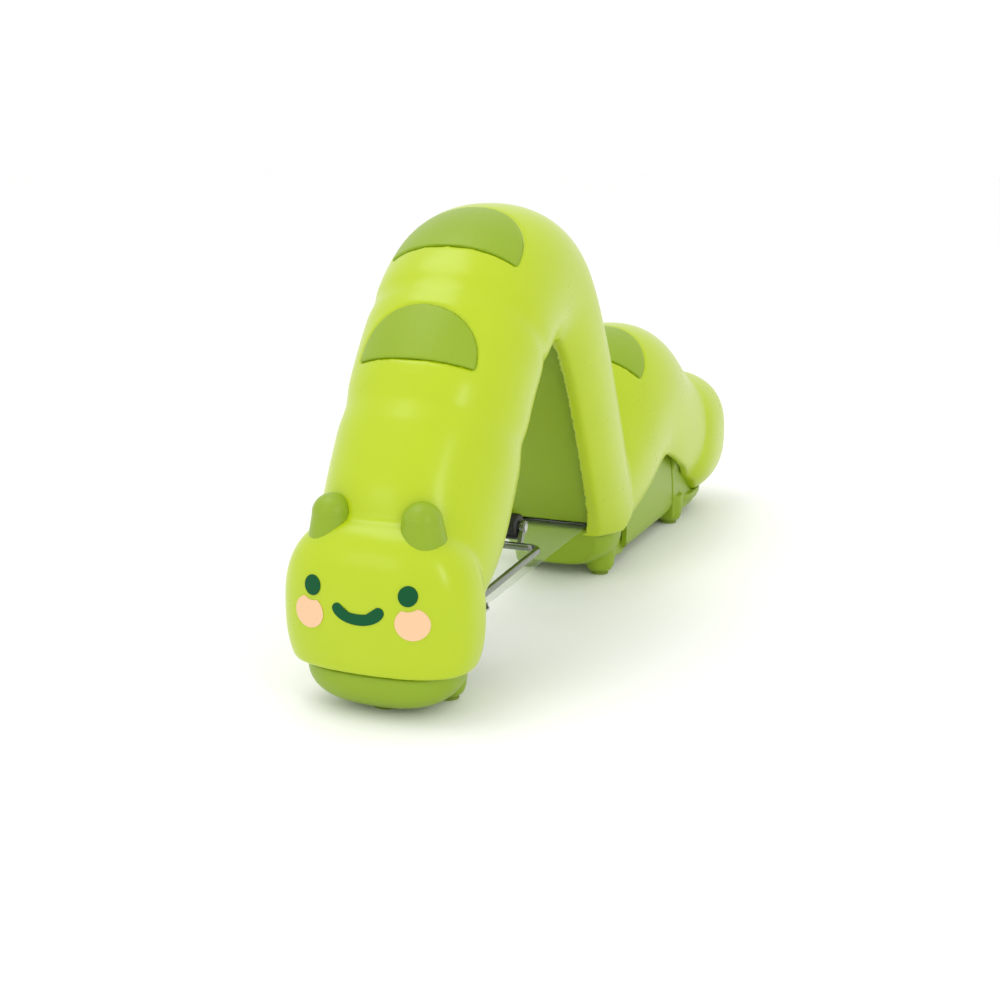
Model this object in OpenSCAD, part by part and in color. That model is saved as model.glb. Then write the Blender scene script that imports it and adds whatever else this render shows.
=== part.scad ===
// Desk tape dispenser in the shape of an inchworm. A bright moulded shell makes the head, the big arch,
// the second hump and the tail. Olive pieces close its underside and make the feet. The tape roll sits in
// the second hump, and the tape crosses the open arch to a toothed blade behind the head.
// The worm looks along -Y and stands on the plane z = 0. The origin is under the middle of its length.

/* [Body] */
// Length over head and tail
body_l = 219; // [205:1:240]
// Width of the body tube
body_w = 40; // [36:1:46]
// Height of the top of the big arch
arch_h = 98; // [88:1:112]
// Height of the top of the second hump
hump_h = 62; // [60:1:72]
// Distance from the middle of the head to the middle foot
arch_span = 109; // [98:1:124]
// Wall of the bright shell
shell_wall = 2.2; // [1.6:0.1:3]
// Wall of the olive pieces
liner_wall = 2; // [1.6:0.1:2.6]
// How far the olive pieces sit back from the shell's edge
liner_recess = 2.4; // [1:0.1:4]
// Gap between pieces that are fitted together
fit_gap = 0.2; // [0.15:0.05:0.4]

/* [Head and tail] */
// Height of the middle of the head
head_z = 21; // [19:0.5:26]
// Half width of the head
head_rx = 21.2; // [17:0.1:22]
// Half length of the head
head_ry = 12; // [11:0.5:18]
// Half height of the head
head_rz = 20; // [18:0.5:23]
// Height of the shell's lower edge at the head
head_edge_z = 10; // [8:0.5:11]
// Height of the middle of the tail
tail_z = 23; // [20:0.5:27]
// Half width of the tail
tail_rx = 22; // [18:0.1:24]
// Half length of the tail
tail_ry = 20; // [16:0.5:23]
// Half height of the tail
tail_rz = 19.5; // [17:0.5:23]
// Height of the shell's lower edge at the middle foot
foot_edge_z = 13; // [12:0.5:14]
// Height of the shell's lower edge at the tail
tail_edge_z = 7; // [6:0.5:9]

/* [Antennae and spots] */
// Radius of an antenna at its root
antenna_r = 5.2; // [3:0.1:6]
// Length of an antenna above the head
antenna_l = 9; // [6:0.5:14]
// Distance between the antennae
antenna_gap = 20; // [16:0.5:26]
// Half width of the neck's spot
neck_spot_rx = 13; // [9:0.5:15]
// Height of the neck's spot
neck_spot_l = 12.8; // [9:0.2:15]
// Half width of the spots on the arch and the hump
big_spot_rx = 14.6; // [10:0.2:15]
// Height of the spots on the arch and the hump
big_spot_l = 17; // [10:0.5:18]
// Depth of a spot's pocket in the shell
spot_depth = 1; // [0.6:0.1:1.2]
// Thickness of the printed eyes, mouth and cheeks
print_t = 0.15; // [0.1:0.05:0.3]

/* [Tape roll] */
// Width of the tape
tape_w = 19; // [12:1:19]
// Outer diameter of a full roll
roll_d = 42; // [34:1:44]
// Inner diameter of the roll's core
core_d = 25.4; // [25.4:0.1:25.4]
// Wall of the roll's core
core_wall = 1.5; // [1:0.1:2.5]
// Height of the roll's axis
roll_z = 30; // [29:0.5:31]
// Diameter of the steel axle
axle_d = 4; // [3:0.5:5]
// Running clearance of the hub on its axle, on the radius
axle_play = 0.05; // [0.02:0.01:0.1]
// Thickness of the free tape
tape_t = 0.12; // [0.1:0.02:0.2]

/* [Roll door] */
// Length of the door under the roll
door_l = 42; // [38:1:44]
// Half width of the door
door_rx = 14.2; // [13:0.1:14.4]
// Height of the door's underside
door_z = 2.6; // [2:0.2:3.5]
// Diameter of the door's hinge pin
door_pin_d = 2; // [1.5:0.1:3]

/* [Spring arm and cutter] */
// Diameter of the arm's wire
wire_d = 1.8; // [1.2:0.1:2.4]
// Distance between the arm's two sides
arm_w = 20.8; // [20:0.2:24]
// Length of the arm behind its pivot
arm_l = 47; // [40:1:54]
// Diameter of the black roller
roller_d = 6.4; // [5:0.2:8]
// Length of the black roller
roller_l = 8; // [6:0.5:12]
// Diameter of the roller's pin
roller_pin_d = 2; // [1.5:0.1:2.5]
// Pitch of the blade's teeth
tooth = 1; // [0.8:0.1:1.5]
// Thickness of the blade
blade_t = 0.5; // [0.4:0.1:0.8]

/* [Hidden] */
$fn = 48;

ring_n = 20;      // points round the body tube
steps = 5;        // rings between two points of the body's line
belly_power = 2.2; // how boxy the tube is on its belly side and on its back
ball_power = 2.6;  // how boxy the head and the tail are
eps = 0.01;

lime = [0.78, 0.86, 0.16];
olive = [0.6, 0.72, 0.2];
steel = [0.75, 0.76, 0.78];
ink = [0.05, 0.36, 0.2];
peach = [0.95, 0.79, 0.62];

head_y = -body_l / 2 + head_ry;
tail_y = body_l / 2 - tail_ry;
mid_y = head_y + arch_span;
half_w = body_w / 2;
arch_d = 18.5;    // half depth of the tube in the arch
hump_d = 24;      // half depth of the tube in the hump
top_z = arch_h - arch_d;
hump_y = mid_y + 33;
hump_z = hump_h - hump_d;

// The body's middle line: place along the worm, height, half width and half depth of the tube there, and
// how far the shell's edge lies below the middle line.
arch_line = [
    [head_y + 1, head_z + 1, half_w - 2.5, arch_d - 6, 11],
    [head_y + 0.13 * arch_span, 0.45 * top_z, half_w - 1, arch_d + 1.5, 13.5],
    [head_y + 0.29 * arch_span, 0.81 * top_z, half_w - 0.5, arch_d, 12],
    [head_y + 0.44 * arch_span, top_z, half_w, arch_d, 11.5],
    [head_y + 0.59 * arch_span, 0.99 * top_z, half_w, arch_d, 11.5],
    [head_y + 0.72 * arch_span, 0.78 * top_z, half_w, arch_d, 11.5],
    [head_y + 0.87 * arch_span, 0.44 * top_z, half_w - 0.5, arch_d, 12],
    [mid_y, 0.2 * top_z, half_w - 1.5, arch_d - 4, 11.5]
];
hump_line = [
    [mid_y - 6, 19, half_w - 2, 14, 8],
    [mid_y + 12, 28, half_w - 0.5, 20, 13],
    [hump_y, hump_z, half_w, hump_d, 12.5],
    [tail_y - 24, hump_z - 8, half_w, hump_d - 1, 11],
    [tail_y - 4, tail_z + 1, half_w, hump_d - 6, 15]
];

// A smooth line through the points p, with m rings to each stretch.
function blend4(a, b, c, d, t) =
    0.5 * (2 * b + (c - a) * t + (2 * a - 5 * b + 4 * c - d) * t * t + (3 * b - a - 3 * c + d) * t * t * t);
function smooth(p, m = steps) = let (n = len(p) - 1)
    [for (i = [0:n - 1]) for (j = [0:m - 1])
        blend4(p[max(i - 1, 0)], p[i], p[i + 1], p[min(i + 2, n)], j / m), p[n]];
function along(c, i) = let (d = c[min(i + 1, len(c) - 1)] - c[max(i - 1, 0)], v = [d[0], d[1]]) v / norm(v);
function outward(c, i) = let (d = along(c, i)) [-d[1], d[0]];
function beside(c, i, q) = [c[i][0], c[i][1]] + q * outward(c, i);
function under_edge(c, i, q) = beside(c, i, q - c[i][4]);
function power(v, e) = sign(v) * pow(abs(v), e);

arch_c = smooth(arch_line);
hump_c = smooth(hump_line);

// A closed tube round the line c, thinner all round by inset.
module tube(c, inset = 0) {
    n = ring_n;
    e = 2 / belly_power;
    pts = [for (i = [0:len(c) - 1]) for (k = [0:n - 1])
        let (s = (c[i][2] - inset) * power(sin(360 * k / n), e),
            p = beside(c, i, (c[i][3] - inset) * power(cos(360 * k / n), e))) [s, p[0], p[1]]];
    sides = [for (i = [0:len(c) - 2]) for (k = [0:n - 1])
        let (a = i * n + k, b = i * n + (k + 1) % n) each [[a, a + n, b], [b, a + n, b + n]]];
    first = [for (k = [0:n - 1]) k];
    last = [for (k = [n - 1:-1:0]) (len(c) - 1) * n + k];
    polyhedron(pts, concat(sides, [first, last]), convexity = 8);
}

// A boxy ball with its middle at p and the radii r.
function ball_dir(a, e) = let (u = [cos(a) * cos(e), sin(a) * cos(e), sin(e)], w = ball_power)
    u / pow(pow(abs(u[0]), w) + pow(abs(u[1]), w) + pow(abs(u[2]), w), 1 / w);
module ball(p, r) {
    n = 24;
    m = 12;
    pts = concat([[0, 0, -1]], [for (j = [1:m - 1]) for (k = [0:n - 1]) ball_dir(360 * k / n, -90 + 180 * j / m)],
        [[0, 0, 1]]);
    top_i = 1 + (m - 1) * n;
    low = [for (k = [0:n - 1]) [0, 1 + k, 1 + (k + 1) % n]];
    mid = [for (j = [0:m - 3]) for (k = [0:n - 1])
        let (a = 1 + j * n + k, b = 1 + j * n + (k + 1) % n) each [[a, a + n, b], [b, a + n, b + n]]];
    high = [for (k = [0:n - 1]) let (a = top_i - n + k, b = top_i - n + (k + 1) % n) [a, top_i, b]];
    translate(p) polyhedron([for (q = pts) [q[0] * r[0], q[1] * r[1], q[2] * r[2]]], concat(low, mid, high));
}

// The whole outer form of the worm, smaller all round by inset.
module form(inset = 0) {
    tube(arch_c, inset);
    tube(hump_c, inset);
    ball([0, head_y, head_z], [head_rx - inset, head_ry - inset, head_rz - inset]);
    ball([0, tail_y, tail_z], [tail_rx - inset, tail_ry - inset, tail_rz - inset]);
}

// A side view outline, given along Y and Z, made w wide across X.
module side(w = 2 * body_w) {
    rotate([90, 0, 90]) linear_extrude(height = w, center = true) children();
}

// A pin across X with its middle at y, z.
module pin(y, z, d, l) {
    translate([-l / 2, y, z]) rotate([0, 90, 0]) cylinder(d = d, h = l);
}

// What lies under the shell's edge, set up into the body by q, seen from the side.
arch_from = 2;
arch_to = len(arch_c) - 3;
hump_from = 6;
hump_to = len(hump_c) - 2;
module under_arch(q = 0) {
    polygon(concat([[head_y + 4, -1]], [for (i = [arch_from:arch_to]) under_edge(arch_c, i, q)],
        [[mid_y - 8, -1]]));
}
module under_hump(q = 0) {
    polygon(concat([[mid_y + 12, -1]], [for (i = [hump_from:hump_to]) under_edge(hump_c, i, q)],
        [[tail_y + 6, -1]]));
}
module under(q = 0) {
    under_arch(q);
    under_hump(q);
    translate([-body_l / 2 - 1, -2]) square([mid_y - 10 + body_l / 2, 2 + head_edge_z + q]);
    translate([mid_y - 30, -2]) square([60, 2 + foot_edge_z + q]);
    translate([mid_y + 12, -2]) square([body_l, 2 + tail_edge_z + q]);
}

// Places worked out from the sizes above.
inner = shell_wall + fit_gap;      // what fits inside the shell stays inside this inset
foot_y = mid_y - 2;                // middle of the middle foot
nub_x = 10;
nub_d = 8.4;
nub_h = 8;
pad_t = 0.8;
pad_d = 4.6;
head_weight_d = 14;
tail_weight_d = 13;
weight_h = 7;
weight_z = 3;
door_y = mid_y + 10.2;             // the door's hinge
door_pin_z = 5;
knuckle_d = 4.8;
knuckle_x = 8;
door_wall = 1.8;
axle_l = 23.8;
hub_l = tape_w + 0.6;
ear_x = hub_l / 2 + 0.3;           // inner face of the bracket's ears
ear_t = 1.6;
bridge_z = roll_z + roll_d / 2 + 0.7;
bridge_t = 1.4;
boss_y = 6.5;
screw_d = 2;
bore_gap = 0.06;                   // how much a bore is wider than the pin or screw fixed in it
arm_pin_d = 2;
guide_d = 3;
guide_y = mid_y - 4;
guide_top = 15.2;
blade_y = head_y + 33.5;
ledge_z = 11.8;
tooth_h = 1.2;
blade_top = ledge_z + blade_t + tooth_h;
ledge_end = blade_y - 4.5;
arm_y = head_y + 15;
arm_z = 15;
bar_y = arm_y + arm_l;
bar_z = arm_z + 3.6;
roller_y = bar_y + 3;
roller_z = bar_z + 4;
lug_x = roller_l / 2 + 0.4;
lug_t = 1;

module weight(y, d) {
    translate([0, y, weight_z]) cylinder(d = d, h = weight_h);
}
// The pocket for a weight, open at the top so that it drops in.
module weight_pocket(y, d) {
    translate([0, y, weight_z - fit_gap / 2]) cylinder(d = d + fit_gap, h = 20);
}

// A stubby leg under a foot, one on each side.
module nubs(y, x = nub_x) {
    for (m = [-1, 1]) translate([m * x, y, pad_t]) cylinder(d1 = nub_d - 1.6, d2 = nub_d, h = nub_h);
}

// The fitted part of a foot that goes up into the shell between two places along the worm.
module plug(y1, y2, z1, z2) {
    intersection() {
        form(inner);
        translate([-body_w, y1, z1]) cube([2 * body_w, y2 - y1, z2 - z1]);
    }
}

module below(z) {
    translate([0, 0, z - 50]) cube([4 * body_w, 2 * body_l, 100], center = true);
}

// ---- Bright shell, antennae, spots and face ----
module body_shell() color(lime) {
    difference() {
        form();
        form(shell_wall);
        side() under();
        for (m = [-1, 1]) antenna_place(m) translate([0, 0, -6]) cylinder(d = peg_d + fit_gap, h = 8);
        spot_pockets();
        // Room for the roll, and for the spring arm behind the head
        pin(hump_y, roll_z, roll_d + 2, hub_l + 5);
        translate([-body_w / 2 + 7.5, head_y, head_edge_z - 1]) cube([body_w - 15, 20, 12.5]);
    }
    // Bosses for the bracket's screws
    for (m = [-1, 1]) difference() {
        translate([0, hump_y + m * boss_y, bridge_z + bridge_t])
            cylinder(d = 6, h = hump_h - shell_wall - 1.1 - bridge_z - bridge_t);
        translate([0, hump_y + m * boss_y, bridge_z]) cylinder(d = screw_d + bore_gap, h = 7);
    }
}

// Where a spot lies and how big it is: a body line, one of its rings, how far along from that ring the flat
// side is, half width and height.
neck_spot = [arch_c, 9, 1.5, neck_spot_rx, neck_spot_l];
top_spot = [arch_c, 14, -2, big_spot_rx, big_spot_l];
hump_spot = [hump_c, 8, 0, big_spot_rx, big_spot_l];
module spot_place(s) {
    c = s[0];
    i = s[1];
    n = outward(c, i);
    p = beside(c, i, c[i][3]);
    translate([0, p[0], p[1]]) rotate([atan2(n[1], n[0]) - 90, 0, 0]) translate([0, s[2], 0]) children();
}
// A half moon standing across the body's skin, flat side towards the head, grown all round by gap.
module moon(s, gap = 0) {
    spot_place(s) linear_extrude(height = 30, center = true) offset(delta = gap)
        polygon([for (a = [0:7.5:180]) [s[3] * cos(a), s[4] * pow(sin(a), 0.8)]]);
}
module spot(s) color(olive) intersection() {
    moon(s);
    difference() {
        form(-0.2);
        form(spot_depth);
    }
}
module spot_pockets() difference() {
    for (s = [neck_spot, top_spot, hump_spot]) moon(s, fit_gap / 2);
    form(spot_depth + fit_gap / 4);
}

peg_d = 4;
antenna_tip = 0.8 * antenna_r;
module antenna_place(m) {
    translate([m * antenna_gap / 2, head_y - 2.5, head_z + head_rz - 5]) rotate([4, 0, 0]) children();
}
module antenna(m) color(olive) difference() {
    antenna_place(m) {
        rotate_extrude() polygon(concat([[0, 0], [antenna_r, 0]],
            [for (a = [0:10:90]) [antenna_tip * cos(a), antenna_l - antenna_tip * (1 - sin(a))]]));
        translate([0, 0, -5]) cylinder(d = peg_d, h = 6);
    }
    form(-fit_gap / 2);
}

// The printed face: thin films that follow the skin of the head.
function skin(x, z, lift) = let (w = ball_power,
    v = 1 - pow(abs(x / (head_rx + lift)), w) - pow(abs((z - head_z) / (head_rz + lift)), w))
    [x, head_y - (head_ry + lift) * pow(max(v, 0.01), 1 / w), z];
// A film over the outline p (points in x and z), fanned from its middle m.
module film(p, m) {
    n = len(p);
    k = 3;
    gap = 0.03;
    ring = function (t, lift) [for (q = p) skin(m[0] + (q[0] - m[0]) * t / k, m[1] + (q[1] - m[1]) * t / k, lift)];
    pts = concat([skin(m[0], m[1], gap + print_t)], [for (t = [1:k]) each ring(t, gap + print_t)],
        [skin(m[0], m[1], gap)], [for (t = [1:k]) each ring(t, gap)]);
    b = 1 + k * n;
    faces = concat(
        [for (j = [0:n - 1]) [0, 1 + (j + 1) % n, 1 + j]],
        [for (t = [0:k - 2]) for (j = [0:n - 1]) let (a = 1 + t * n + j, c = 1 + t * n + (j + 1) % n)
            each [[a, c, a + n], [c, c + n, a + n]]],
        [for (j = [0:n - 1]) [b, b + 1 + j, b + 1 + (j + 1) % n]],
        [for (t = [0:k - 2]) for (j = [0:n - 1])
            let (a = b + 1 + t * n + j, c = b + 1 + t * n + (j + 1) % n)
            each [[a, a + n, c], [c, a + n, c + n]]],
        [for (j = [0:n - 1]) let (a = 1 + (k - 1) * n + j, c = 1 + (k - 1) * n + (j + 1) % n)
            each [[a, c, b + a], [c, b + c, b + a]]]);
    polyhedron(pts, faces, convexity = 4);
}
eye_x = 10.5;
eye_z = 27.9;
eye_r = 1.95;
cheek_x = 11.4;
cheek_z = 22.3;
cheek_r = 3.5;
smile_x = 4.6;
smile_z = 24.4;
smile_drop = 2.2;
smile_t = 2.3;
module eye_prints() color(ink) for (m = [-1, 1])
    film([for (a = [0:20:340]) [m * eye_x + eye_r * cos(a), eye_z + 1.05 * eye_r * sin(a)]], [m * eye_x, eye_z]);
module cheek_prints() color(peach) for (m = [-1, 1])
    film([for (a = [0:15:345])
        let (x = cheek_r * cos(a), z = cheek_r * 0.92 * sin(a), dip = max(0, 1.2 - 0.35 * x * x))
        [m * cheek_x + x, cheek_z + (sin(a) > 0 ? z - dip : z)]], [m * cheek_x, cheek_z - 0.6]);
function smile_at(a, r) = [smile_x * sin(a), smile_z - smile_drop * cos(a)] + r * [sin(a), -cos(a)];
module mouth_print() color(ink)
    film(concat([for (a = [-80:16:80]) smile_at(a, smile_t / 2)], [for (a = [80:-16:-80]) smile_at(a, -smile_t / 2)]),
        [0, smile_z - smile_drop]);

// ---- Olive pieces that close the underside ----
liner_front_z = head_edge_z + 4.5;
slot_top = foot_edge_z + 3.2;
module arch_liner() color(olive) intersection() {
    form(inner);
    side() difference() {
        under_arch(liner_recess + liner_wall);
        under_arch(liner_recess);
        translate([-body_l, -body_l]) square([body_l + mid_y - 40, body_l + liner_front_z]);
        translate([mid_y - 40, -body_l]) square([80, body_l + slot_top]);
    }
}

module head_foot() color(olive) {
    top = head_edge_z + 3;
    difference() {
        union() {
            intersection() {
                ball([0, head_y + 1, head_edge_z - 0.2], [head_rx - 4.4, head_ry - 1, head_edge_z - 0.2 - pad_t]);
                below(head_edge_z - 0.2);
            }
            plug(head_y - head_ry, head_y + head_ry - 2, head_edge_z - 3, top);
            nubs(head_y + 9);
            // The ledge that carries the blade
            translate([-tape_w / 2, head_y + 6, ledge_z - 3.6]) cube([tape_w, ledge_end - head_y - 6, 3.6]);
            for (m = [-1, 1]) translate([m * 7.6 - 1.2, arm_y - 3, ledge_z - 1]) cube([2.4, 6, arm_z - ledge_z + 3.4]);
        }
        weight_pocket(head_y, head_weight_d);
        pin(arm_y, arm_z, arm_pin_d + bore_gap, 40);
        for (m = [-1, 1]) translate([m * 5, ledge_end - 3, ledge_z - 3]) cylinder(d = screw_d + bore_gap, h = 6);
    }
}

module middle_foot() color(olive) difference() {
    union() {
        intersection() {
            ball([0, foot_y, foot_edge_z - 0.2], [half_w - 4.6, 11.5, foot_edge_z - 2.8]);
            below(foot_edge_z - 0.2);
        }
        plug(mid_y - 16, mid_y + 6.5, foot_edge_z - 3, slot_top - 0.4);
        nubs(mid_y - 1);
        door_knuckles();
    }
    // The way of the tape, and the guide pin
    translate([-tape_w / 2 - 0.8, guide_y - guide_d / 2 - 0.4, foot_edge_z - 1]) cube([tape_w + 1.6, 60, 20]);
    translate([-tape_w / 2 - 0.8, mid_y - 30, guide_top - 0.9]) cube([tape_w + 1.6, 60, 20]);
    side() under_arch(liner_recess);
    pin(guide_y, guide_top - guide_d / 2 - 0.05, guide_d + bore_gap, 22.6);
    pin(door_y, door_pin_z, door_pin_d + bore_gap, 40);
    // Room for the door to turn
    pin(door_y, door_pin_z, knuckle_d + 0.8, 2 * (knuckle_x + 0.3));
    difference() {
        translate([-body_w, door_y - 2.8, -1]) cube([2 * body_w, 40, 40]);
        door_knuckles();
    }
}
// The two knuckles that hold the ends of the door's pin.
module door_knuckles() {
    for (m = [-1, 1]) translate([m * (knuckle_x + 2.4) - 2.1, door_y, door_pin_z]) {
        rotate([0, 90, 0]) cylinder(d = knuckle_d, h = 4.2);
        translate([0, -6, -1.8]) cube([4.2, 6, 3.6]);
    }
}

door_r = door_l + 1;
tail_nub_y = door_y + door_r + 4.4;
module tail_foot() color(olive) difference() {
    union() {
        intersection() {
            ball([0, tail_y - 5, tail_edge_z - 0.2], [tail_rx - 6, tail_ry - 3, tail_edge_z - 0.2 - pad_t]);
            below(tail_edge_z - 0.2);
        }
        intersection() {
            plug(door_y + door_l - 6, body_l / 2, 2.4, 30);
            side() difference() {
                union() {
                    under_hump(3);
                    translate([door_y, 0]) square([body_l, tail_edge_z + 3]);
                }
                under_hump(-30);
            }
        }
        // The neck that joins the foot to its plug
        translate([0, tail_y, tail_edge_z - 1]) cylinder(d = tail_weight_d + 4.6, h = 4);
        nubs(tail_nub_y, nub_x + 2);
    }
    pin(hump_y, roll_z, roll_d + 2, hub_l + 5);
    pin(door_y, door_pin_z, 2 * (door_r + 0.5), 80);
    weight_pocket(tail_y, tail_weight_d);
}

module foot_pads() color([0.35, 0.42, 0.2]) {
    for (m = [-1, 1]) {
        translate([m * nub_x, head_y + 9, 0]) cylinder(d = pad_d, h = pad_t);
        translate([m * nub_x, mid_y - 1, 0]) cylinder(d = pad_d, h = pad_t);
        translate([m * (nub_x + 2), tail_nub_y, 0]) cylinder(d = pad_d, h = pad_t);
    }
    translate([0, head_y + 1, 0]) cylinder(d = 7, h = pad_t);
}

module head_weight() color(steel) weight(head_y, head_weight_d);
module tail_weight() color(steel) weight(tail_y, tail_weight_d);

// ---- Roll, hub and bracket ----
module axle_bracket() color(olive) difference() {
    union() {
        translate([-ear_x - ear_t, hump_y - 9.5, bridge_z]) cube([2 * (ear_x + ear_t), 19, bridge_t]);
        for (m = [-1, 1]) translate([m * (ear_x + ear_t / 2) - ear_t / 2, 0, 0]) {
            translate([0, hump_y - 5, roll_z]) cube([ear_t, 10, bridge_z - roll_z + 0.5]);
            translate([0, hump_y, roll_z]) rotate([0, 90, 0]) cylinder(d = 10, h = ear_t);
        }
    }
    pin(hump_y, roll_z, axle_d + bore_gap, 60);
    for (m = [-1, 1]) translate([0, hump_y + m * boss_y, bridge_z]) {
        cylinder(d = screw_d + 0.4, h = 10, center = true);
        translate([0, 0, -0.5]) cylinder(d = 4.2, h = 1.3);
    }
}
module bracket_screws() color(steel) for (m = [-1, 1]) translate([0, hump_y + m * boss_y, bridge_z + 0.05]) {
    cylinder(d = 4, h = 0.7);
    cylinder(d = screw_d, h = 5);
}
module hub_axle() color(steel) pin(hump_y, roll_z, axle_d, axle_l);
module tape_hub() color([0.93, 0.93, 0.9]) difference() {
    union() {
        pin(hump_y, roll_z, 9, hub_l);
        difference() {
            pin(hump_y, roll_z, core_d - 0.4, hub_l - 0.6);
            pin(hump_y, roll_z, core_d - 3.4, hub_l);
        }
        for (a = [0:60:150]) translate([0, hump_y, roll_z]) rotate([a, 0, 0])
            cube([hub_l - 3, core_d - 2, 1.4], center = true);
    }
    pin(hump_y, roll_z, axle_d + 2 * axle_play, 60);
}
module tape_core() color([0.96, 0.95, 0.92]) difference() {
    pin(hump_y, roll_z, core_d + 2 * core_wall, tape_w);
    pin(hump_y, roll_z, core_d, 60);
}
module tape_roll() color([0.9, 0.9, 0.82, 0.7]) difference() {
    pin(hump_y, roll_z, roll_d, tape_w);
    pin(hump_y, roll_z, core_d + 2 * core_wall, 60);
}
module guide_pin() color(steel) pin(guide_y, guide_top - guide_d / 2 - 0.05, guide_d, 22.4);

// The free tape: off the underside of the roll, over the guide pin, under the arm, onto the blade.
tape_r = roll_d / 2 + 0.3;
tape_v = [hump_y - guide_y, roll_z - guide_top];
tape_a = atan2(tape_v[1], tape_v[0]) - asin(tape_r / norm(tape_v));
tape_s = sqrt(pow(norm(tape_v), 2) - tape_r * tape_r);
tape_line = [[blade_y - 2, blade_top + 0.05], [guide_y, guide_top],
    [guide_y + tape_s * cos(tape_a), guide_top + tape_s * sin(tape_a)]];
module tape_strip() color([0.9, 0.93, 0.9, 0.4])
    side(tape_w) polygon(concat(tape_line, [for (i = [2:-1:0]) tape_line[i] + [0, tape_t]]));

// ---- Door under the roll ----
module roll_door() color(olive) difference() {
    union() {
        intersection() {
            door_block(0);
            side() {
                under_hump(2.6);
                translate([door_y - 1.2, 0]) square([12, foot_edge_z + 2]);
            }
            pin(door_y, door_pin_z, 2 * door_r, 80);
        }
        pin(door_y, door_pin_z, knuckle_d, 2 * knuckle_x);
    }
    intersection() {
        door_block(door_wall);
        pin(door_y, door_pin_z, 2 * (door_r - door_wall), 80);
    }
    // Clear of the roll, and inside the shell's edge
    pin(hump_y, roll_z, roll_d + 2, 2 * (door_rx - door_wall));
    difference() {
        form();
        form(inner + 0.4);
        side() under(-0.4);
    }
    pin(door_y, door_pin_z, door_pin_d + 2 * axle_play, 60);
    for (m = [-1, 1]) translate([m * (knuckle_x + 2.4) - 2.4, door_y - 4, -1]) cube([4.8, 7.4, 12]);
}
// The door's round-edged trough, smaller by inset.
module door_block(inset) {
    x = door_rx - inset;
    r = 5 - inset / 2;
    z = door_z + inset;
    for (m = [-1, 1]) translate([m * (x - r), door_y - 4, z + r]) rotate([-90, 0, 0]) cylinder(r = r, h = 60);
    translate([-x, door_y - 4, z + r]) cube([2 * x, 60, 40]);
    translate([r - x, door_y - 4, z]) cube([2 * (x - r), 60, 40]);
}
module door_pin() color(steel) pin(door_y, door_pin_z, door_pin_d, 24.6);

// ---- Blade and spring arm ----
module cutter_blade() color(steel) {
    difference() {
        translate([-tape_w / 2 + 0.3, ledge_end - 6, ledge_z])
            cube([tape_w - 0.6, blade_y - ledge_end + 6, blade_t]);
        for (m = [-1, 1]) translate([m * 5, ledge_end - 3, ledge_z - 1]) cylinder(d = screw_d + bore_gap, h = 6);
    }
    teeth = floor((tape_w - 0.6) / tooth);
    translate([0, blade_y + blade_t, ledge_z]) rotate([90, 0, 0]) linear_extrude(height = blade_t)
        polygon(concat([[-teeth * tooth / 2, 0]],
            [for (i = [0:2 * teeth]) [(i - teeth) * tooth / 2, blade_t + (i % 2) * tooth_h]],
            [[teeth * tooth / 2, 0]]));
}
module cutter_screws() color(steel) for (m = [-1, 1]) translate([m * 5, ledge_end - 3, ledge_z]) {
    translate([0, 0, -2.8]) cylinder(d = screw_d, h = 2.8 + blade_t);
    translate([0, 0, blade_t]) cylinder(d = 3.6, h = 0.6);
}
module arm_pin() color(steel) pin(arm_y, arm_z, arm_pin_d, arm_w + 2.4);
arm_angle = asin((bar_z - arm_z) / arm_l);
module spring_arm() color(steel) difference() {
    $fn = 24;
    union() {
        for (m = [-1, 1]) translate([m * arm_w / 2, 0, 0]) {
            translate([-wire_d / 2, arm_y, arm_z]) rotate([0, 90, 0]) cylinder(d = 4, h = wire_d);
            translate([0, arm_y, arm_z]) rotate([arm_angle - 90, 0, 0])
                cylinder(d = wire_d, h = norm([bar_y - arm_y, bar_z - arm_z]));
        }
        pin(bar_y, bar_z, wire_d + 0.2, arm_w + wire_d);
        for (m = [-1, 1]) translate([m * (lug_x + lug_t / 2) - lug_t / 2, 0, 0]) {
            translate([0, bar_y, bar_z]) rotate([atan2(roller_z - bar_z, roller_y - bar_y), 0, 0])
                translate([0, 0, -wire_d / 3]) cube([lug_t, norm([roller_z - bar_z, roller_y - bar_y]), wire_d / 1.5]);
            translate([0, roller_y, roller_z]) rotate([0, 90, 0]) cylinder(d = roller_pin_d + 1.2, h = lug_t);
        }
    }
    pin(arm_y, arm_z, arm_pin_d + 2 * axle_play, 60);
    pin(roller_y, roller_z, roller_pin_d + bore_gap, 60);
}
module pressure_roller() color([0.08, 0.08, 0.08]) difference() {
    pin(roller_y, roller_z, roller_d, roller_l);
    pin(roller_y, roller_z, roller_pin_d + 2 * axle_play, 60);
}
module roller_pin() color(steel) pin(roller_y, roller_z, roller_pin_d, 2 * (lug_x + lug_t) + 0.4);

body_shell();
antenna(1);  // antenna_left
antenna(-1);  // antenna_right
spot(top_spot);  // spot_top
spot(neck_spot);  // spot_neck
spot(hump_spot);  // spot_hump
eye_prints();
mouth_print();
cheek_prints();
arch_liner();
head_foot();
middle_foot();
tail_foot();
foot_pads();
head_weight();
tail_weight();
axle_bracket();
bracket_screws();
hub_axle();
tape_hub();
tape_core();
tape_roll();
tape_strip();
guide_pin();
roll_door();
door_pin();
cutter_blade();
cutter_screws();
arm_pin();
spring_arm();
pressure_roller();
roller_pin();
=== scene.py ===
import math

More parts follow.
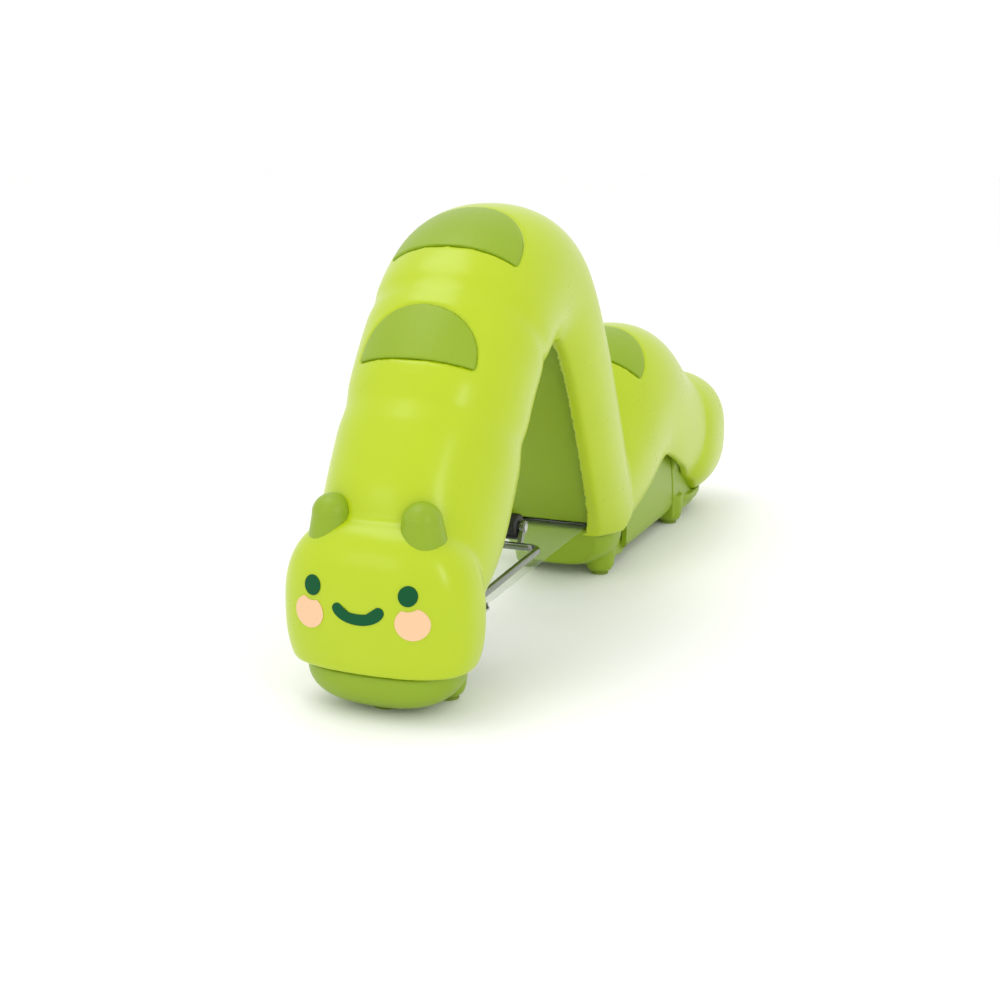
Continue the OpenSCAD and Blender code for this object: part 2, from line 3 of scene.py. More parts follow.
import bmesh
import bpy
import numpy as np
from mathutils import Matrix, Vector


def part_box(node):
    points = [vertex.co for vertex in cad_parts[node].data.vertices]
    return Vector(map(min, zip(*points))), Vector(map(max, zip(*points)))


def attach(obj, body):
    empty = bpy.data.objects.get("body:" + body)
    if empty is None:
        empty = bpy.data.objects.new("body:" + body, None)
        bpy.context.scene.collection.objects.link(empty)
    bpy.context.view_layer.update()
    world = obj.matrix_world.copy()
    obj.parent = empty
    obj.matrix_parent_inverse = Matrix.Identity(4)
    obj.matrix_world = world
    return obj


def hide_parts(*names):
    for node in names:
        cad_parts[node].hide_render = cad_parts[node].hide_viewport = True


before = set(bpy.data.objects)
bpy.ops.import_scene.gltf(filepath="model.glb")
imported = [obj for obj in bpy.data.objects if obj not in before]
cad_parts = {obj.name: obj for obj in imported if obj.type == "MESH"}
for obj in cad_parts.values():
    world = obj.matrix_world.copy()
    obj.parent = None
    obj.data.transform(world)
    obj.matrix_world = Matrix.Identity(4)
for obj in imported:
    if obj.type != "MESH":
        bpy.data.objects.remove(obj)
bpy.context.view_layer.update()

# ---- Bright shell ----
# The worm's whole upper skin, moulded in one piece from glossy yellow-green plastic: head, big arch, second
# hump and tail. It is made from two swept tubes and two boxy balls, hollowed, and cut open underneath.
MM = 0.001
shell_low, shell_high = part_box("body_shell")
SHELL_WALL = 2.2
# Half the width of anything that has to pass right through the worm.
THROUGH = 60
HEAD = dict(mid=(0, shell_low[1] / MM + 12, 21), radii=(21.2, 12, 20))
TAIL = dict(mid=(0, shell_high[1] / MM - 20, 23), radii=(22, 20, 19.5))
HEAD_Y, TAIL_Y = HEAD["mid"][1], TAIL["mid"][1]
SPAN = 109
FOOT_Y = HEAD_Y + SPAN
HUMP_Y = FOOT_Y + 33
TOP_Z = 79.5
# Along the body: place, height, half width, half depth, drop from the middle line to the shell's edge.
ARCH = [
    (HEAD_Y + 1, 22, 17.5, 12.5, 11),
    (HEAD_Y + 0.13 * SPAN, 0.45 * TOP_Z, 19, 20, 13.5),
    (HEAD_Y + 0.29 * SPAN, 0.81 * TOP_Z, 19.5, 18.5, 12),
    (HEAD_Y + 0.44 * SPAN, TOP_Z, 20, 18.5, 11.5),
    (HEAD_Y + 0.59 * SPAN, 0.99 * TOP_Z, 20, 18.5, 11.5),
    (HEAD_Y + 0.72 * SPAN, 0.78 * TOP_Z, 20, 18.5, 11.5),
    (HEAD_Y + 0.87 * SPAN, 0.44 * TOP_Z, 19.5, 18.5, 12),
    (FOOT_Y, 0.2 * TOP_Z, 18.5, 14.5, 11.5),
]
HUMP = [
    (FOOT_Y - 6, 19, 18, 14, 8),
    (FOOT_Y + 12, 28, 19.5, 20, 13),
    (HUMP_Y, 38, 20, 24, 12.5),
    (TAIL_Y - 24, 30, 20, 23, 11),
    (TAIL_Y - 4, 24, 20, 18, 15),
]
HEAD_EDGE_Z, FOOT_EDGE_Z, TAIL_EDGE_Z = 10, 13, 7
STEPS = 5
# Where soft grooves part the body into segments, counted in steps along the arch, and how deep they are.
GROOVES = [(8.1, 0.6), (12.0, 0.5)]


def body_line(points, fine):
    """A smooth line through the points, with fine rings between each two."""
    p = np.array([points[0]] + list(points) + [points[-1]], float)
    rows = []
    for i in range(len(points) - 1):
        a, b, c, d = p[i:i + 4]
        for t in np.arange(fine) / fine:
            rows.append(0.5 * (2 * b + (c - a) * t + (2 * a - 5 * b + 4 * c - d) * t**2
                               + (3 * b - a - 3 * c + d) * t**3))
    return np.array(rows + [p[-1]])


def outward(line):
    """The direction from the middle line towards the worm's back, at each ring."""
    along = np.empty((len(line), 2))
    along[1:-1] = line[2:, :2] - line[:-2, :2]
    along[0], along[-1] = line[1, :2] - line[0, :2], line[-1, :2] - line[-2, :2]
    along /= np.linalg.norm(along, axis=1)[:, None]
    return np.stack([-along[:, 1], along[:, 0]], axis=1)


def solid(name, points, faces):
    """A mesh object from points in millimetres."""
    mesh = bpy.data.meshes.new(name)
    mesh.from_pydata([tuple(MM * np.array(q, float)) for q in points], [], faces)
    mesh.validate()
    ready = bmesh.new()
    ready.from_mesh(mesh)
    bmesh.ops.recalc_face_normals(ready, faces=ready.faces)
    ready.to_mesh(mesh)
    ready.free()
    obj = bpy.data.objects.new(name, mesh)
    bpy.context.scene.collection.objects.link(obj)
    return obj


def swept(points, inset, grooves=(), round_n=64, fine=16):
    """The tube round a body line, thinner all round by inset."""
    line = body_line(points, fine)
    out = outward(line)
    turn = 2 * np.pi * np.arange(round_n) / round_n
    boxy = 2 / 2.2
    wide, deep = [np.sign(f(turn)) * np.abs(f(turn)) ** boxy for f in (np.sin, np.cos)]
    rings = []
    for i, (y, z, w, d, _) in enumerate(line):
        step = i * STEPS / fine
        dip = sum(g * math.exp(-((step - at) / 0.42) ** 2) for at, g in grooves)
        w, d = w - inset - dip, d - inset - dip
        rings += [(w * s, y + d * c * out[i, 0], z + d * c * out[i, 1]) for s, c in zip(wide, deep)]
    faces = [list(range(round_n)), [(len(line) - 1) * round_n + k for k in range(round_n)]]
    for i in range(len(line) - 1):
        for k in range(round_n):
            a, b = i * round_n + k, i * round_n + (k + 1) % round_n
            faces.append([a, b, b + round_n, a + round_n])
    return solid("tube", rings, faces)


def boxy_ball(mid, radii, inset=0, power=2.6, around=72, rows=36):
    """A ball with slightly flat sides, like the head and the tail."""
    points, faces = [], []
    r = np.array(radii, float) - inset
    for j in range(rows + 1):
        tilt = math.pi * (j / rows - 0.5)
        for k in range(around):
            turn = 2 * math.pi * k / around
            u = np.array([math.cos(turn) * math.cos(tilt), math.sin(turn) * math.cos(tilt), math.sin(tilt)])
            points.append(np.array(mid) + r * u / (np.abs(u) ** power).sum() ** (1 / power))
            if j in (0, rows):
                break
    first = lambda j: 0 if j == 0 else 1 + (j - 1) * around
    for k in range(around):
        n = (k + 1) % around
        faces.append([0, 1 + n, 1 + k])
        faces.append([first(rows), first(rows - 1) + k, first(rows - 1) + n])
        for j in range(1, rows - 1):
            a, b = first(j), first(j + 1)
            faces.append([a + k, a + n, b + n, b + k])
    return solid("ball", points, faces)


def across(outline, half_width, x=0):
    """A side outline in Y and Z, made into a solid across X."""
    n = len(outline)
    points = [(x + s * half_width, y, z) for s in (-1, 1) for y, z in outline]
    faces = [list(range(n)), list(range(n, 2 * n))]
    faces += [[i, (i + 1) % n, n + (i + 1) % n, n + i] for i in range(n)]
    return solid("side", points, faces)


def settle(obj):
    """Makes the object's modifiers part of its mesh."""
    mesh = bpy.data.meshes.new_from_object(obj.evaluated_get(bpy.context.evaluated_depsgraph_get()))
    obj.modifiers.clear()
    obj.data = mesh
    return obj


def cut(obj, tool, how="DIFFERENCE"):
    """Takes the tool's solid from the object, or joins or crosses the two, and uses the tool up."""
    bpy.context.view_layer.update()
    mod = obj.modifiers.new("cut", "BOOLEAN")
    mod.object, mod.operation, mod.solver = tool, how, "MANIFOLD"
    settle(obj)
    bpy.data.objects.remove(tool)
    return obj


def form(inset=0, grooves=()):
    """The worm's whole outer form, smaller all round by inset."""
    whole = swept(ARCH, inset, grooves)
    for more in (swept(HUMP, inset), boxy_ball(**HEAD, inset=inset), boxy_ball(**TAIL, inset=inset)):
        cut(whole, more, "UNION")
    return whole


def under_edge(points, first, last, up=0):
    """The shell's lower edge along a body line, moved up into the body."""
    line = body_line(points, STEPS)
    out = outward(line)
    return [tuple(line[i, :2] + (up - line[i, 4]) * out[i]) for i in range(first, last + 1)]


def arch_gap(up=0):
    return [(HEAD_Y + 4, -1)] + under_edge(ARCH, 2, 7 * STEPS - 2, up) + [(FOOT_Y - 8, -1)]


def hump_gap(up=0):
    return [(FOOT_Y + 12, -1)] + under_edge(HUMP, 6, 4 * STEPS - 1, up) + [(TAIL_Y + 6, -1)]


def block(y1, y2, z1, z2):
    return [(y1, z1), (y2, z1), (y2, z2), (y1, z2)]


def mould(obj, grain, rounds):
    """Gives the solid an even skin, rounds its edges a little as a mould does, and shades it smooth."""
    remesh = obj.modifiers.new("skin", "REMESH")
    remesh.mode, remesh.voxel_size = "VOXEL", grain * MM
    soft = obj.modifiers.new("soften", "SMOOTH")
    soft.factor, soft.iterations = 0.5, rounds
    settle(obj)
    for face in obj.data.polygons:
        face.use_smooth = True
    return obj


# Each spot's body line, the ring it starts from, how far along from there, its half width and its height.
SPOTS = {"spot_neck": (ARCH, 9, 1.5, 13, 12.8), "spot_top": (ARCH, 14, -2, 14.6, 17),
         "spot_hump": (HUMP, 8, 0, 14.6, 17)}


def moon(place, gap=0):
    """A half moon standing through the skin, its flat side towards the head."""
    points, i, shift, wide, tall = place
    line = body_line(points, STEPS)
    out = outward(line)[i]
    along = np.array([out[1], -out[0]])
    at = line[i, :2] + line[i, 3] * out + shift * along
    turn = np.linspace(0, math.pi, 33)
    flat = [((wide + gap) * math.cos(t), (tall + gap) * max(math.sin(t), 0) ** 0.8 - gap) for t in turn]
    rows = [(x, *(at + v * along + h * out)) for h in (-15, 15) for x, v in flat]
    n = len(flat)
    faces = [list(range(n)), list(range(n, 2 * n))]
    faces += [[j, (j + 1) % n, n + (j + 1) % n, n + j] for j in range(n)]
    return solid("moon", rows, faces)


shell = form(0, GROOVES)
POCKET_DEPTH, POCKET_GAP, PROUD = 1, 0.1, 0.2
pockets = moon(SPOTS["spot_neck"], POCKET_GAP)
for name in ("spot_top", "spot_hump"):
    cut(pockets, moon(SPOTS[name], POCKET_GAP), "UNION")
cut(pockets, form(POCKET_DEPTH))
cut(shell, pockets)
cut(shell, form(SHELL_WALL))
for gap in (arch_gap(), hump_gap(),
            block(shell_low[1] / MM - 1, FOOT_Y - 10, -2, HEAD_EDGE_Z),
            block(FOOT_Y - 30, FOOT_Y + 30, -2, FOOT_EDGE_Z),
            block(FOOT_Y + 12, FOOT_Y + body_line(HUMP, 1)[-1, 0] + 40, -2, TAIL_EDGE_Z)):
    cut(shell, across(gap, THROUGH))
# Room for the spring arm behind the head.
cut(shell, across(block(HEAD_Y, HEAD_Y + 20, HEAD_EDGE_Z - 1, HEAD_EDGE_Z + 11.5), 12.5))
mould(shell, grain=0.45, rounds=22)
shell.name = "bright_shell"
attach(shell, "base")
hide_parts("body_shell")


class Shade:
    """A socket of a material, so that shader maths reads as a plain expression."""

    def __init__(self, tree, socket):
        self.tree, self.socket = tree, socket

    def add(self, kind, settings=(), out=0, **values):
        node = self.tree.nodes.new("ShaderNode" + kind)
        for key, value in dict(settings).items():
            setattr(node, key, value)
        for key, value in values.items():
            socket = node.inputs[int(key[1:]) if key[1:].isdigit() else key.replace("_", " ")]
            if isinstance(value, Shade):
                self.tree.links.new(value.socket, socket)
            else:
                socket.default_value = value
        return Shade(self.tree, node.outputs[out])

    def maths(self, how, a, b):
        return self.add("Math", {"operation": how}, i0=a, i1=b)

    def __add__(self, other):
        return self.maths("ADD", self, other)

    def __sub__(self, other):
        return self.maths("SUBTRACT", self, other)

    def __mul__(self, other):
        return self.maths("MULTIPLY", self, other)

    def __rsub__(self, other):
        return self.maths("SUBTRACT", other, self)

    __radd__, __rmul__ = __add__, __mul__

    def between(self, low, high):
        """The colour that runs from low to high as this value runs from 0 to 1."""
        return self.add("Mix", {"data_type": "RGBA"}, out=2, i0=self, i6=(*low, 1), i7=(*high, 1))


def finish(name, colour, tint, rough, fleck=60, dent=0.02, grain=900, **fixed):
    """A material whose colour drifts towards tint, with fine grain in its gloss and its surface."""
    material = bpy.data.materials.new(name)
    material.use_nodes = True
    tree = material.node_tree
    base = tree.nodes["Principled BSDF"]
    here = Shade(tree, None)
    place = here.add("TexCoord", out=3)
    cloud = here.add("TexNoise", i0=place, Scale=fleck, Detail=3.0)
    fine = here.add("TexNoise", i0=place, Scale=grain, Detail=2.0)
    tree.links.new(cloud.between(colour, tint).socket, base.inputs["Base Color"])
    tree.links.new((rough + (cloud - 0.5) * 0.1 + (fine - 0.5) * 0.08).socket, base.inputs["Roughness"])
    bump = here.add("Bump", Strength=dent, Distance=0.0004, Height=fine)
    tree.links.new(bump.socket, base.inputs["Normal"])
    for key, value in fixed.items():
        base.inputs[key.replace("_", " ")].default_value = value
    return material


def wear(obj, material):
    obj.data.materials.clear()
    obj.data.materials.append(material)


lime = finish("lime plastic", (0.40, 0.53, 0.004), (0.45, 0.57, 0.006), 0.3, Coat_Weight=0.15,
              Coat_Roughness=0.2, Specular_IOR_Level=0.35)
wear(shell, lime)

# ---- Half moon spots ----
# Three olive scales of the same plastic, moulded apart and pressed into shallow pockets in the skin, so that
# each stands a little proud of it.
olive = finish("olive plastic", (0.235, 0.36, 0.012), (0.265, 0.39, 0.016), 0.38, Coat_Weight=0.05,
               Coat_Roughness=0.3, Specular_IOR_Level=0.3)
for name, place in SPOTS.items():
    spot = moon(place)
    cut(spot, form(-PROUD), "INTERSECT")
    cut(spot, form(POCKET_DEPTH))
    mould(spot, grain=0.3, rounds=4)
    spot.name = name + "_scale"
    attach(spot, "base")
    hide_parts(name)
    wear(spot, olive)

# ---- Antennae ----
# Two blunt olive ears, each turned solid with a peg that is glued into a hole behind the head's brow.


def shade_smooth(obj):
    """Smooth shading with crisp corners, for a piece that keeps its own mesh."""
    for face in obj.data.polygons:
        face.use_smooth = True
    crisp = obj.modifiers.new("crisp edges", "EDGE_SPLIT")
    crisp.split_angle = math.radians(35)


for name in ("antenna_left", "antenna_right"):
    wear(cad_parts[name], olive)
    shade_smooth(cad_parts[name])

# ---- Face ----
# Eyes, smile and cheeks, pad-printed straight on the head in dark green and peach ink.
INK_T, INK_ROOT = 0.15, 0.3
EYE_AT, EYE_R = (10.5, 27.9), 1.95
CHEEK_AT, CHEEK_R = (11.4, 22.3), 3.5
SMILE_W, SMILE_Z, SMILE_DROP, SMILE_T = 4.6, 24.4, 2.2, 2.3


def on_face(x, z, lift):
    rx, ry, rz = (v + lift for v in HEAD["radii"])
    rest = 1 - abs(x / rx) ** 2.6 - abs((z - HEAD["mid"][2]) / rz) ** 2.6
    return (x, HEAD_Y - ry * max(rest, 0.01) ** (1 / 2.6), z)


def printed(outline, middle, rings=6):
    """A film of ink over an outline, closed behind inside the skin."""
    n, points, faces = len(outline), [], []
    for lift in (INK_T, -INK_ROOT):
        points.append(on_face(*middle, lift))
        for t in range(1, rings + 1):
            points += [on_face(middle[0] + (x - middle[0]) * t / rings,
                               middle[1] + (z - middle[1]) * t / rings, lift) for x, z in outline]
    back = 1 + rings * n
    for j in range(n):
        k = (j + 1) % n
        for start in (0, back):
            faces.append([start, start + 1 + j, start + 1 + k])
            for t in range(rings - 1):
                a = start + 1 + t * n
                faces.append([a + j, a + n + j, a + n + k, a + k])
        edge = 1 + (rings - 1) * n
        faces.append([edge + j, edge + k, back + edge + k, back + edge + j])
    return solid("ink", points, faces)


def ring_of(mid, wide, tall, n=56):
    turn = 2 * np.pi * np.arange(n) / n
    return [(mid[0] + wide * math.cos(t), mid[1] + tall * math.sin(t)) for t in turn]


def cheek(side):
    """A round cheek with a bite taken out where the eye stands over it."""
    eye = np.array([side * EYE_AT[0], EYE_AT[1]])
    keep = []
    for q in ring_of((side * CHEEK_AT[0], CHEEK_AT[1]), CHEEK_R, CHEEK_R * 0.95):
        away = np.array(q) - eye
        far = np.linalg.norm(away)
        keep.append(tuple(eye + away / far * max(far, EYE_R + 1.15)))
    return keep


smile = []
for side, turns in ((1, range(-80, 81, 8)), (-1, range(80, -81, -8))):
    for a in np.radians(turns):
        out = np.array([math.sin(a), -math.cos(a)])
        middle = np.array([0, SMILE_Z]) + out * (SMILE_W, SMILE_DROP)
        smile.append(tuple(middle + side * SMILE_T / 2 * out))
    ahead = np.array([math.cos(a), math.sin(a)])
    for b in np.radians(range(20, 180, 20)):
        smile.append(tuple(middle + side * SMILE_T / 2 * (out * math.cos(b) + ahead * math.sin(b))))

dark_ink = finish("dark green ink", (0.002, 0.075, 0.022), (0.003, 0.09, 0.028), 0.5, dent=0.05, grain=1500,
                  Specular_IOR_Level=0.15)
peach_ink = finish("peach ink", (0.80, 0.51, 0.30), (0.83, 0.54, 0.33), 0.5, dent=0.05, grain=1500,
                   Specular_IOR_Level=0.2)
eyes = printed(ring_of((-EYE_AT[0], EYE_AT[1]), EYE_R, 1.05 * EYE_R), (-EYE_AT[0], EYE_AT[1]))
cut(eyes, printed(ring_of(EYE_AT, EYE_R, 1.05 * EYE_R), EYE_AT), "UNION")
cheeks = printed(cheek(-1), (-CHEEK_AT[0], CHEEK_AT[1] - 0.8))
cut(cheeks, printed(cheek(1), (CHEEK_AT[0], CHEEK_AT[1] - 0.8)), "UNION")
mouth = printed(smile, (0, SMILE_Z - SMILE_DROP))
for piece, name, ink, paint in ((eyes, "eye_prints", dark_ink, "ink_print"),
                                (mouth, "mouth_print", dark_ink, "ink_print"),
                                (cheeks, "cheek_prints", peach_ink, "peach_print")):
    piece.name = name.replace("prints", "ink").replace("print", "ink")
    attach(piece, "base")
    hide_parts(name)
    wear(piece, ink)

# ---- Arch liner ----
# An olive strip of moulded plastic that closes the arch from below. It sits back from the shell's edge and
# stops short of the middle foot, where the tape comes out.
INNER = SHELL_WALL + 0.2
RECESS, LINER_WALL = 2.4, 2
SLOT_TOP = FOOT_EDGE_Z + 3.2
LINER_FRONT_Z = HEAD_EDGE_Z + 4.5
liner = across(arch_gap(RECESS + LINER_WALL), THROUGH)
cut(liner, across(arch_gap(RECESS), THROUGH + 1))
cut(liner, across(block(HEAD_Y - 30, FOOT_Y - 40, -5, LINER_FRONT_Z), THROUGH + 1))
cut(liner, across(block(FOOT_Y - 40, FOOT_Y + 40, -5, SLOT_TOP), THROUGH + 1))
cut(liner, form(INNER), "INTERSECT")
mould(liner, grain=0.6, rounds=5)
liner.name = "arch_lining"
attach(liner, "base")
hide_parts("arch_liner")
wear(liner, olive)

# ---- Feet ----
# Three olive feet, each a bowl with two nubs moulded under it and a plug that is pressed up into the shell.
# The head's foot also carries the blade's ledge and the two ears that hold the spring arm.
PAD_T = 0.8


def stub(x, y, round_n=48):
    """A stubby leg with a soft end."""
    turn = 2 * np.pi * np.arange(round_n) / round_n
    side = ((0, 2.5), (0.3, 3.0), (1, 3.5), (2, 3.8), (4, 4.05), (8, 4.2))
    points = [(x + r * math.cos(t), y + r * math.sin(t), PAD_T + z) for z, r in side for t in turn]
    faces = [list(range(round_n)), [(len(side) - 1) * round_n + k for k in range(round_n)]]
    for i in range(len(side) - 1):
        for k in range(round_n):
            a, b = i * round_n + k, i * round_n + (k + 1) % round_n
            faces.append([a, b, b + round_n, a + round_n])
    return solid("stub", points, faces)


def foot(mid, radii, plug, nub_x, nub_y):
    """A bowl under the shell, its plug, given as its ends in y and z, and its two nubs."""
    bowl = boxy_ball(mid, radii)
    cut(bowl, across(block(mid[1] - 60, mid[1] + 60, mid[2], 60), THROUGH))
    fitted = form(INNER)
    cut(fitted, across(block(*plug), THROUGH), "INTERSECT")
    cut(bowl, fitted, "UNION")
    for side in (-1, 1):
        cut(bowl, stub(side * nub_x, nub_y), "UNION")
    return bowl


EDGE_GAP = 0.2
LEDGE_Z, LEDGE_END, LEDGE_T = 11.8, HEAD_Y + 29, 3.6
TAPE_W = 19
ARM_Y, ARM_Z = HEAD_Y + 15, 15
head_foot = foot((0, HEAD_Y + 1, HEAD_EDGE_Z - EDGE_GAP), (16.8, 11, HEAD_EDGE_Z - EDGE_GAP - PAD_T),
                 (HEAD_Y - 12, HEAD_Y + 10, HEAD_EDGE_Z - 3, HEAD_EDGE_Z + 3), 10, HEAD_Y + 9)
cut(head_foot, across(block(HEAD_Y + 6, LEDGE_END, LEDGE_Z - LEDGE_T, LEDGE_Z), TAPE_W / 2), "UNION")
for side in (-1, 1):
    cut(head_foot, across(block(ARM_Y - 3, ARM_Y + 3, LEDGE_Z - 1, ARM_Z + 2.4), 1.2, side * 7.6), "UNION")
mould(head_foot, grain=0.45, rounds=5)

middle_foot = foot((0, FOOT_Y - 2, FOOT_EDGE_Z - EDGE_GAP), (15.4, 11.5, FOOT_EDGE_Z - 2.8),
                   (FOOT_Y - 16, FOOT_Y + 6.5, FOOT_EDGE_Z - 3, SLOT_TOP - 0.4), 10, FOOT_Y - 1)
# The way of the tape, over the guide pin and up to the roll.
GUIDE_Y, GUIDE_TOP = FOOT_Y - 4, 15.2
WAY = TAPE_W / 2 + 0.8
cut(middle_foot, across(block(GUIDE_Y - 1.9, FOOT_Y + 30, FOOT_EDGE_Z - 1, 40), WAY))
cut(middle_foot, across(block(FOOT_Y - 30, FOOT_Y + 30, GUIDE_TOP - 0.9, 40), WAY))
cut(middle_foot, across(arch_gap(RECESS), THROUGH))
# The two knuckles that hold the ends of the door's pin, and room for the door to turn between them.
DOOR_Y, DOOR_Z = FOOT_Y + 10.2, 5
KNUCKLE_X, KNUCKLE_R, KNUCKLE_T = 10.4, 2.4, 4.2
for side in (-1, 1):
    arm = block(DOOR_Y - 8, DOOR_Y, DOOR_Z - 1.8, DOOR_Z + 1.8)
    eye = ring_of((DOOR_Y, DOOR_Z), KNUCKLE_R, KNUCKLE_R, 32)
    for outline in (arm, eye):
        cut(middle_foot, across(outline, KNUCKLE_T / 2, side * KNUCKLE_X), "UNION")
cut(middle_foot, across(block(DOOR_Y - 2.8, DOOR_Y + 30, -1, 40), KNUCKLE_X - KNUCKLE_T / 2))
cut(middle_foot, across(block(DOOR_Y - 2.8, DOOR_Y + 30, DOOR_Z + 2.6, 40), THROUGH))
mould(middle_foot, grain=0.4, rounds=5)

DOOR_R = 43
tail_foot = foot((0, TAIL_Y - 5, TAIL_EDGE_Z - EDGE_GAP), (16, 17, TAIL_EDGE_Z - EDGE_GAP - PAD_T),
                 (DOOR_Y + 36, TAIL_Y + 30, TAIL_EDGE_Z - 1.5, 10), 12, DOOR_Y + DOOR_R + 4.4)
wall = form(INNER)
cut(wall, across(hump_gap(3), THROUGH), "INTERSECT")
cut(tail_foot, wall, "UNION")
# A skirt carries the wall down to the foot, level with the door's sides.
skirt = across(block(DOOR_Y + 36, TAIL_Y - 3, 2.4, 30), 14.4)
cut(skirt, across(hump_gap(0.3), THROUGH), "INTERSECT")
cut(tail_foot, skirt, "UNION")
cut(tail_foot, across(ring_of((DOOR_Y, DOOR_Z), DOOR_R + 0.5, DOOR_R + 0.5, 128), THROUGH))
ROLL_Z, ROLL_ROOM = 30, 22
cut(tail_foot, across(ring_of((HUMP_Y, ROLL_Z), ROLL_ROOM, ROLL_ROOM, 96), 13))
mould(tail_foot, grain=0.45, rounds=5)
for piece, name in ((head_foot, "head_foot"), (middle_foot, "middle_foot"), (tail_foot, "tail_foot")):
    piece.name = name + "_bowl"
    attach(piece, "base")
    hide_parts(name)
    wear(piece, olive)

# ---- Pads and weights ----
# Soft rubber discs glued under the nubs and the head, and two turned steel slugs that keep the light
# plastic body from tipping or sliding while tape is torn.
# The pads are coloured the feet's olive as it looks in shade. This is painted shade under the feet, so that
# the pads blend in.
pad_rubber_shaded_olive = finish("pad rubber in painted shade", (0.16, 0.24, 0.01), (0.18, 0.26, 0.014), 0.7, dent=0.1)
wear(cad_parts["foot_pads"], pad_rubber_shaded_olive)
turned = finish("turned steel", (0.32, 0.32, 0.33), (0.38, 0.38, 0.39), 0.4, Metallic=1.0)
for name in ("head_weight", "tail_weight"):
    wear(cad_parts[name], turned)

# ---- Roll, hub and bracket ----
# A bracket screwed under the hump's top carries a steel axle. The white hub turns on it and holds the core
# of a standard roll of clear tape.
drawn = finish("drawn steel", (0.52, 0.53, 0.55), (0.60, 0.61, 0.62), 0.26, grain=1500, Metallic=1.0)
wear(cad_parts["axle_bracket"], olive)
for name in ("bracket_screws", "hub_axle", "guide_pin", "door_pin", "cutter_screws", "arm_pin", "roller_pin"):
    wear(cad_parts[name], drawn)
wear(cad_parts["tape_hub"], finish("hub plastic", (0.80, 0.80, 0.75), (0.84, 0.84, 0.80), 0.45))
wear(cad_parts["tape_core"], finish("core plastic", (0.86, 0.84, 0.78), (0.89, 0.87, 0.82), 0.5))


def film(name, colour, clear, rough, layers=0):
    """Clear tape. Layers gives the fine rings that show on the side of a wound roll."""
    material = finish(name, colour, tuple(0.96 * c for c in colour), rough, dent=0.01, IOR=1.48)
    tree = material.node_tree
    base = tree.nodes["Principled BSDF"]
    here = Shade(tree, None)
    streak = here.add("TexNoise", i0=here.add("TexCoord", out=3), Scale=180.0, Detail=2.0)
    if layers:
        spot = here.add("VectorMath", {"operation": "SUBTRACT"}, i0=here.add("TexCoord", out=3),
                        i1=(0, HUMP_Y * MM, ROLL_Z * MM))
        flat = here.add("VectorMath", {"operation": "MULTIPLY"}, i0=spot, i1=(0, 1, 1))
        radius = here.add("VectorMath", {"operation": "LENGTH"}, out=1, i0=flat)
        rings = here.maths("SINE", radius * layers, 0.0)
        bump = here.add("Bump", Strength=0.15, Distance=0.0002, Height=rings)
        tree.links.new(bump.socket, base.inputs["Normal"])
    tree.links.new((clear + (streak - 0.5) * 0.1).socket, base.inputs["Alpha"])
    return material


wear(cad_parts["tape_roll"], film("wound tape", (0.80, 0.80, 0.66), 0.85, 0.25, layers=30000))
# The tape itself is clear. The strip's green tint is painted reflection of the green body behind and around
# it.
wear(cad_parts["tape_strip"], film("clear tape with painted green reflection", (0.66, 0.76, 0.62), 0.2, 0.14))

# ---- Roll door ----
# An olive trough under the roll, hinged on a pin at the middle foot. It snaps shut against the tail's foot.
wear(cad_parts["roll_door"], olive)
shade_smooth(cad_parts["roll_door"])

# ---- Cutter ----
# A stamped stainless plate screwed on the ledge behind the head, with its rear edge turned up and toothed.
wear(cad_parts["cutter_blade"], finish("blade steel", (0.60, 0.61, 0.62), (0.68, 0.69, 0.70), 0.22,
                                            grain=2500, dent=0.06, Metallic=1.0))

# ---- Spring arm ----
# One steel wire bent to a fork. Its looped ends turn on a pin in the head's foot, and its cross-bar carries
# two small lugs that hold the roller's pin.
WIRE_R = 0.9
ARM_X = 10.4
BAR_Y, BAR_Z = ARM_Y + 47, ARM_Z + 3.6
ROLLER_Y, ROLLER_Z, ROLLER_R, ROLLER_L = BAR_Y + 3, BAR_Z + 4, 3.2, 8
LUG_X, LUG_T = ROLLER_L / 2 + 0.4, 1


def wire(name, path, r, round_n=20):
    """A round wire along the points of its path."""
    path = np.array(path, float)
    way = np.gradient(path, axis=0)
    way /= np.linalg.norm(way, axis=1)[:, None]
    side = np.cross(way[0], (0.3, 0.2, 1.0))
    rows = []
    for p, d in zip(path, way):
        side = side - d * side.dot(d)
        side /= np.linalg.norm(side)
        up = np.cross(d, side)
        for k in range(round_n):
            a = 2 * math.pi * k / round_n
            rows.append(p + r * (math.cos(a) * side + math.sin(a) * up))
    faces = [list(range(round_n)), [(len(path) - 1) * round_n + k for k in range(round_n)]]
    for i in range(len(path) - 1):
        for k in range(round_n):
            a, b = i * round_n + k, i * round_n + (k + 1) % round_n
            faces.append([a, b, b + round_n, a + round_n])
    return solid(name, rows, faces)


LOOP_R = 1.95
slope = math.atan2(BAR_Z - ARM_Z - LOOP_R, BAR_Y - ARM_Y)
half = []
for a in np.linspace(-250, 90, 24):
    b = math.radians(a) + slope
    half.append((ARM_X + 0.9 * (90 - a) / 340, ARM_Y + LOOP_R * math.cos(b), ARM_Z + LOOP_R * math.sin(b)))
BEND = 3
for t in np.linspace(0.04, 1, 14):
    half.append((ARM_X, ARM_Y + (BAR_Y - BEND - ARM_Y) * t, ARM_Z + LOOP_R + (BAR_Z - ARM_Z - LOOP_R) * t))
for a in np.radians(np.linspace(10, 90, 9)):
    half.append((ARM_X - BEND + BEND * math.cos(a), BAR_Y - BEND + BEND * math.sin(a), BAR_Z))
half += [(x, BAR_Y, BAR_Z) for x in (5, 3, 1)]
arm = wire("wire_fork", half + [(-x, y, z) for x, y, z in reversed(half)], WIRE_R)
